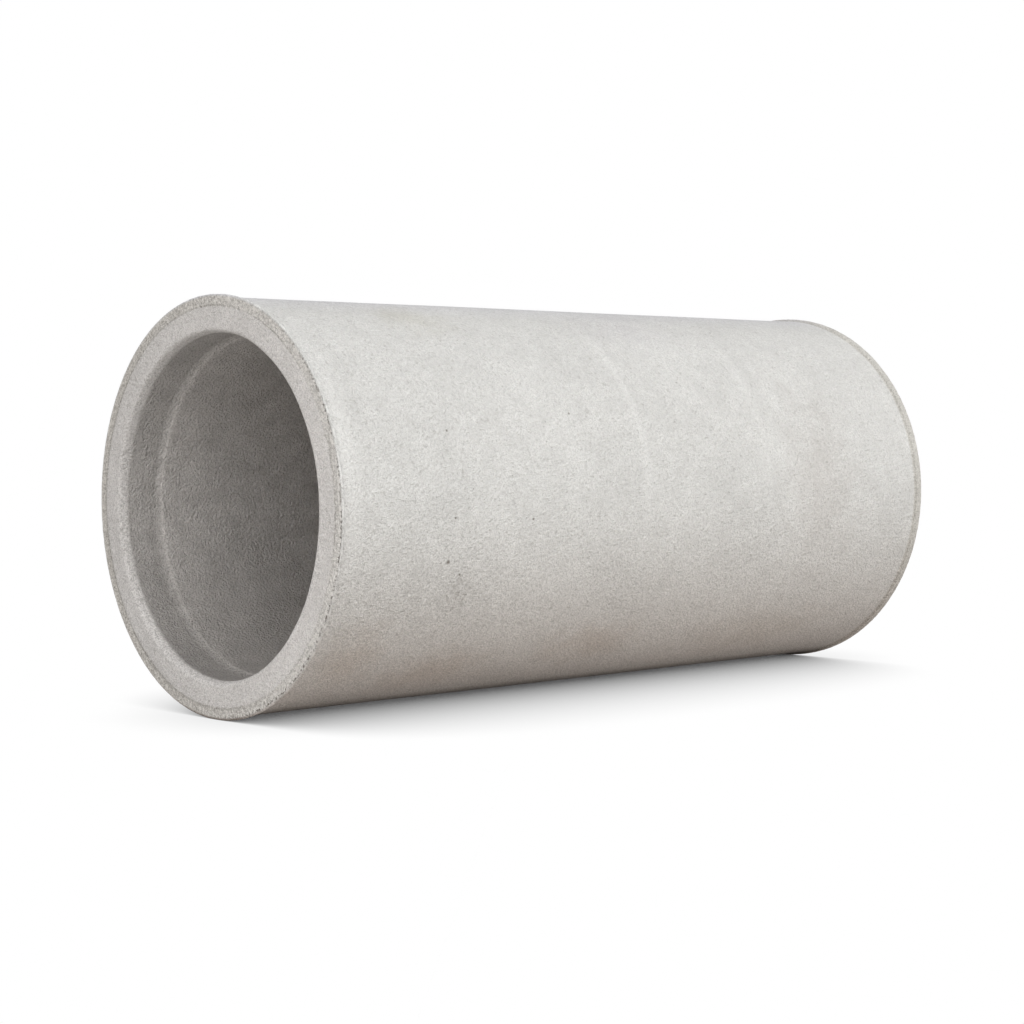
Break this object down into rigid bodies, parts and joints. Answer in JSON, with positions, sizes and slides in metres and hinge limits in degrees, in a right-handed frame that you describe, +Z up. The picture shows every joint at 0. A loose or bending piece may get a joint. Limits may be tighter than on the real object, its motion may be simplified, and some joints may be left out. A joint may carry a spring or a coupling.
{
  "type": "concrete sewer pipe",
  "caption": "Plain round concrete sewer pipe lying on its side: thick wall, straight bore, shallow stepped socket with a rounded mouth, and a low casting rim round each end.",
  "frame": {"origin": "on the floor under the middle of the pipe's length, where the lying pipe's box has the centre of its bottom face", "axes": "+X along the pipe's axis towards the far end, so the socket end faces -X; +Z up"},
  "size_m": [1.54, 0.75, 0.75],
  "materials": {
    "concrete": "matte as-cast pale grey concrete"
  },
  "bodies": {
    "root": {"pipe": "concrete"}
  },
  "joints": []
}
